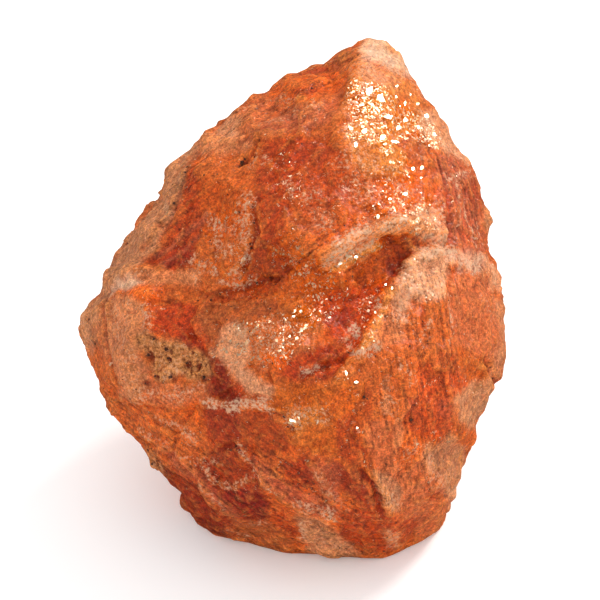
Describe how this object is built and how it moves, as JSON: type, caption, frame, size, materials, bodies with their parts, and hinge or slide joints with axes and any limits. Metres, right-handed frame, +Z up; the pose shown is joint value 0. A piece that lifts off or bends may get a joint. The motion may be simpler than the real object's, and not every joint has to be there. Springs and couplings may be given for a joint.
{
  "type": "rough sunstone",
  "caption": "Uncut lump of orange sunstone feldspar with broken cleavage faces and a pointed top, resting on a small flat spot.",
  "frame": {"origin": "bottom centre of the stone's box, on the plane of the flat resting spot", "axes": "+Z up as the stone rests, +X to the right and +Y away from the viewer in the pictured view, which looks along +Y from above"},
  "size_m": [0.0388, 0.0368, 0.0375],
  "materials": {
    "feldspar": "rough broken crystal faces with a glassy to pearly lustre"
  },
  "bodies": {
    "root": {"sunstone": "feldspar"}
  },
  "joints": []
}
